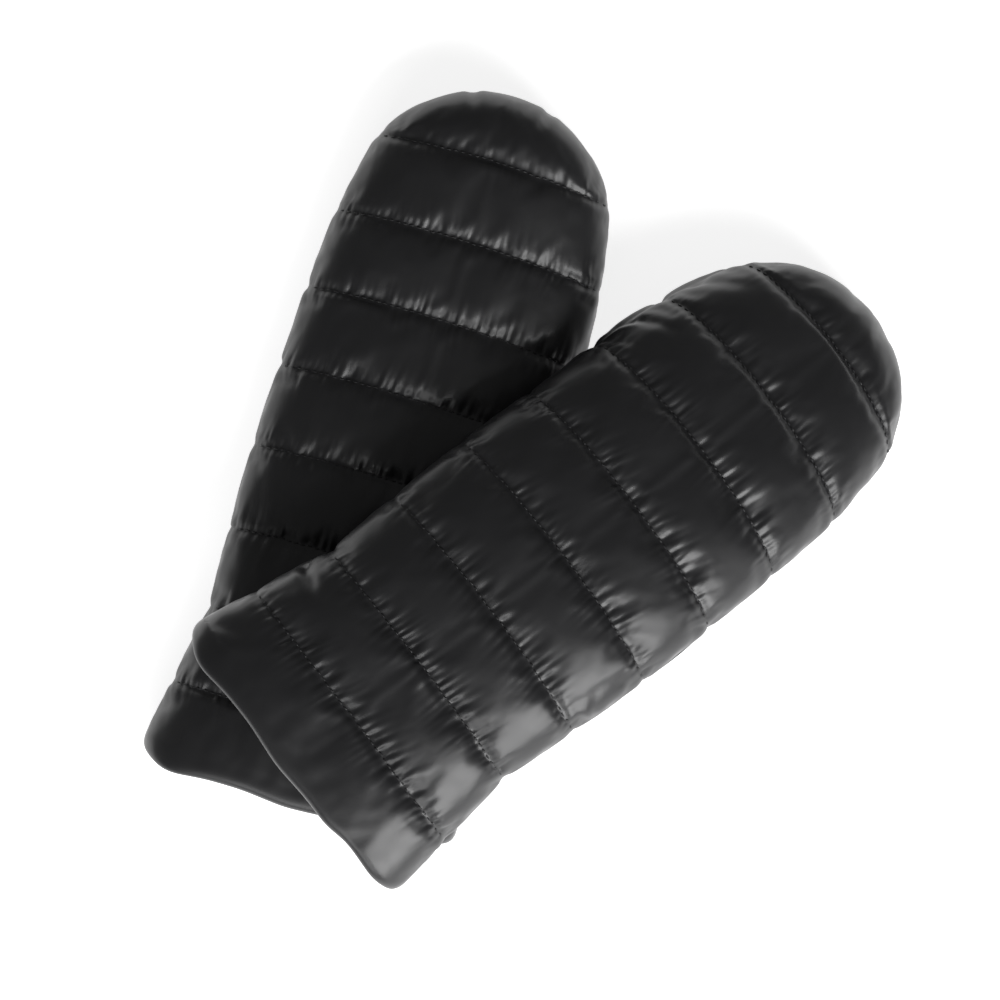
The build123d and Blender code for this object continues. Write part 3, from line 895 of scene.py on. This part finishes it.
def thumb(lay):
    """The thumb, a small quilted pad at rest under the palm."""
    side = lay.thumb_side
    up = lay.thumb_up / np.linalg.norm(lay.thumb_up)
    ahead = lay.along - up * np.dot(lay.along, up)
    ahead /= np.linalg.norm(ahead)
    left = np.cross(up, ahead)
    angle = -THUMB_TUCK * side
    toward = ahead * math.cos(angle) + left * math.sin(angle)
    across = np.cross(up, toward)
    turn = np.linspace(0, math.pi, THUMB_ROWS)
    x = -THUMB_ROOT + (THUMB_ROOT + THUMB_REACH + THUMB_TIP) * (1 - np.cos(turn)) / 2
    r = even_columns(THUMB_ROOT, NOMINAL_THUMB_HEIGHT, THUMB_COLUMNS, THUMB_ROUNDING)
    xx, rr = np.meshgrid(x, r, indexing="ij")
    stops = np.array([-THUMB_ROOT, *THUMB_SEAMS, THUMB_REACH + THUMB_TIP])
    cell = np.clip(np.searchsorted(stops, xx, side="right") - 1, 0, 2)
    share = (xx - stops[cell]) / (stops[cell + 1] - stops[cell])
    puff = np.where(xx < 0, 1.0, bulge(np.clip(share, 0, 1)))
    width = thumb_half_width(xx)
    thin = np.clip(width / THUMB_THIN_BELOW, 0, 1) ** THUMB_THINNING
    height = (THUMB_AT_SEAM + THUMB_PUFF * puff) * thin
    rng = np.random.default_rng(lay.seed + 7)
    points, faces = [], []
    for sign in (1, -1):
        ridge_y, ridge = arches(rng, THUMB_GATHER_SPACING, THUMB_GATHER_SPAN, GATHER_STEP)
        nearest = np.abs(xx[..., None] - THUMB_SEAMS).min(-1)
        fade = np.exp(-nearest / THUMB_GATHER_REACH)
        gather = THUMB_GATHER * fade * (np.interp(width * rr, ridge_y, ridge) - 0.5)
        arch = crown(rr, THUMB_ROUNDING)
        rise = sign * (height + gather * arch) * arch + THUMB_MIDDLE
        place = (lay.pivot + xx[..., None] * toward + (width * rr)[..., None] * across
                 + rise[..., None] * up)
        first = len(points) * xx.size
        points.append(place.reshape(-1, 3))
        faces.append(grid_faces(first + np.arange(xx.size).reshape(xx.shape), -sign))
    piece = new_object(f"{lay.name}_thumb_quilted", np.vstack(points), np.vstack(faces))
    work = bmesh.new()
    work.from_mesh(piece.data)
    bmesh.ops.remove_doubles(work, verts=work.verts, dist=WELD)
    bmesh.ops.recalc_face_normals(work, faces=work.faces)
    work.to_mesh(piece.data)
    work.free()
    refine(piece, 1)
    piece.data.materials.append(NYLON)
    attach(piece, lay.thumb_body)
    names = ("thumb_shell", "thumb_lower_fill", "thumb_upper_fill", "thumb_lining")
    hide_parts(*[f"{lay.name}_{name}" for name in names])


# ---------------------------------------------------------------- both mitts, piece by piece

for lay in (LOWER, UPPER):
    piece, local = skin(lay)
    inflate(piece, local)
    refine(piece, 2)
    s, y, z = (get_value(piece, name) for name in ("s", "y", "z"))
    is_palm = get_value(piece, "palm") > 0.5
    r = y / half_width(s)
    back_relief = gathers(lay, s, y, r, False) + creases(lay, s, y, z)
    out = np.where(is_palm, PALM_GATHER_SHARE * gathers(lay, s, y, r, True), back_relief)
    out[s < HEM + SEAM_BOW] = 0
    set_positions(piece, positions(piece) + normals(piece) * out[:, None])
    raise_pocket(lay, piece)
    keep_between(lay, piece, FLOOR_GAP, PRESSED_HEIGHT if lay is LOWER else FREE_HEIGHT)
    palm_faces = face_is_palm(piece)
    back = keep_faces(piece, f"{lay.name}_back_quilted", ~palm_faces)
    palm_side = keep_faces(piece, f"{lay.name}_palm_quilted", palm_faces)
    bpy.data.objects.remove(piece)
    for made in (back, palm_side):
        made.data.materials.clear()
        made.data.materials.append(NYLON)
        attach(made, lay.body)
    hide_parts(f"{lay.name}_back_shell", *[f"{lay.name}_back_fill_{n}" for n in range(1, 10)])
    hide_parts(f"{lay.name}_palm_shell", f"{lay.name}_seam_allowance",
                *[f"{lay.name}_palm_fill_{n}" for n in range(1, 10)])
    rows = seam_stitches(lay, back, f"{lay.name}_back_stitches", False)
    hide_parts(f"{lay.name}_back_quilting")
    rows = seam_stitches(lay, palm_side, f"{lay.name}_palm_stitches", True)
    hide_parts(f"{lay.name}_palm_quilting")
    inner_layers(lay)
    thumb(lay)
    band = frame["nodes"][f"{lay.name}_wrist_elastic"]
    band.data.materials.clear()
    band.data.materials.append(ELASTIC)


# ---------------------------------------------------------------- stage, light and camera

floor = new_object("floor", FLOOR_CORNERS, [(0, 1, 2, 3)], smooth=False)
floor_paint, _, _, floor_shader = material("white_floor")
floor_shader.inputs["Base Color"].default_value = (0.86, 0.86, 0.86, 1)
floor_shader.inputs["Roughness"].default_value = 0.8
floor_shader.inputs["Emission Color"].default_value = (1, 1, 1, 1)
floor_shader.inputs["Emission Strength"].default_value = 0.8
floor.data.materials.append(floor_paint)

camera_data = bpy.data.cameras.new("camera")
camera = bpy.data.objects.new("camera", camera_data)
bpy.context.scene.collection.objects.link(camera)
camera.location = VIEW_CENTRE + Vector((0, 0, VIEW_DISTANCE))
camera.rotation_euler = (0, 0, ROLL)
camera_data.lens = camera_data.sensor_width * VIEW_DISTANCE / VIEW_WIDTH
camera_data.clip_start = 0.1
bpy.context.scene.camera = camera


def area_light(name, toward, elevation, distance, size, power):
    """A soft square light. toward is its side of the picture, and both angles are in degrees."""
    angle = math.radians(toward) + ROLL
    elevation = math.radians(elevation)
    flat = Vector((math.cos(angle), math.sin(angle), 0)) * math.cos(elevation)
    where = (flat + Vector((0, 0, math.sin(elevation)))) * distance
    data = bpy.data.lights.new(name, "AREA")
    data.shape = "RECTANGLE"
    data.size = data.size_y = size
    data.energy = power
    lamp = bpy.data.objects.new(name, data)
    lamp.location = where
    lamp.rotation_euler = (-where).to_track_quat("-Z", "Y").to_euler()
    bpy.context.scene.collection.objects.link(lamp)


area_light("key", toward=-60, elevation=36, distance=1.5, size=1.0, power=26)
area_light("low_fill", toward=-108, elevation=32, distance=1.6, size=0.8, power=7)
world = bpy.data.worlds.new("world")
world.use_nodes = True
world.node_tree.nodes["Background"].inputs["Color"].default_value = (1, 1, 1, 1)
world.node_tree.nodes["Background"].inputs["Strength"].default_value = 0.135
bpy.context.scene.world = world
bpy.context.scene.view_settings.view_transform = "Standard"
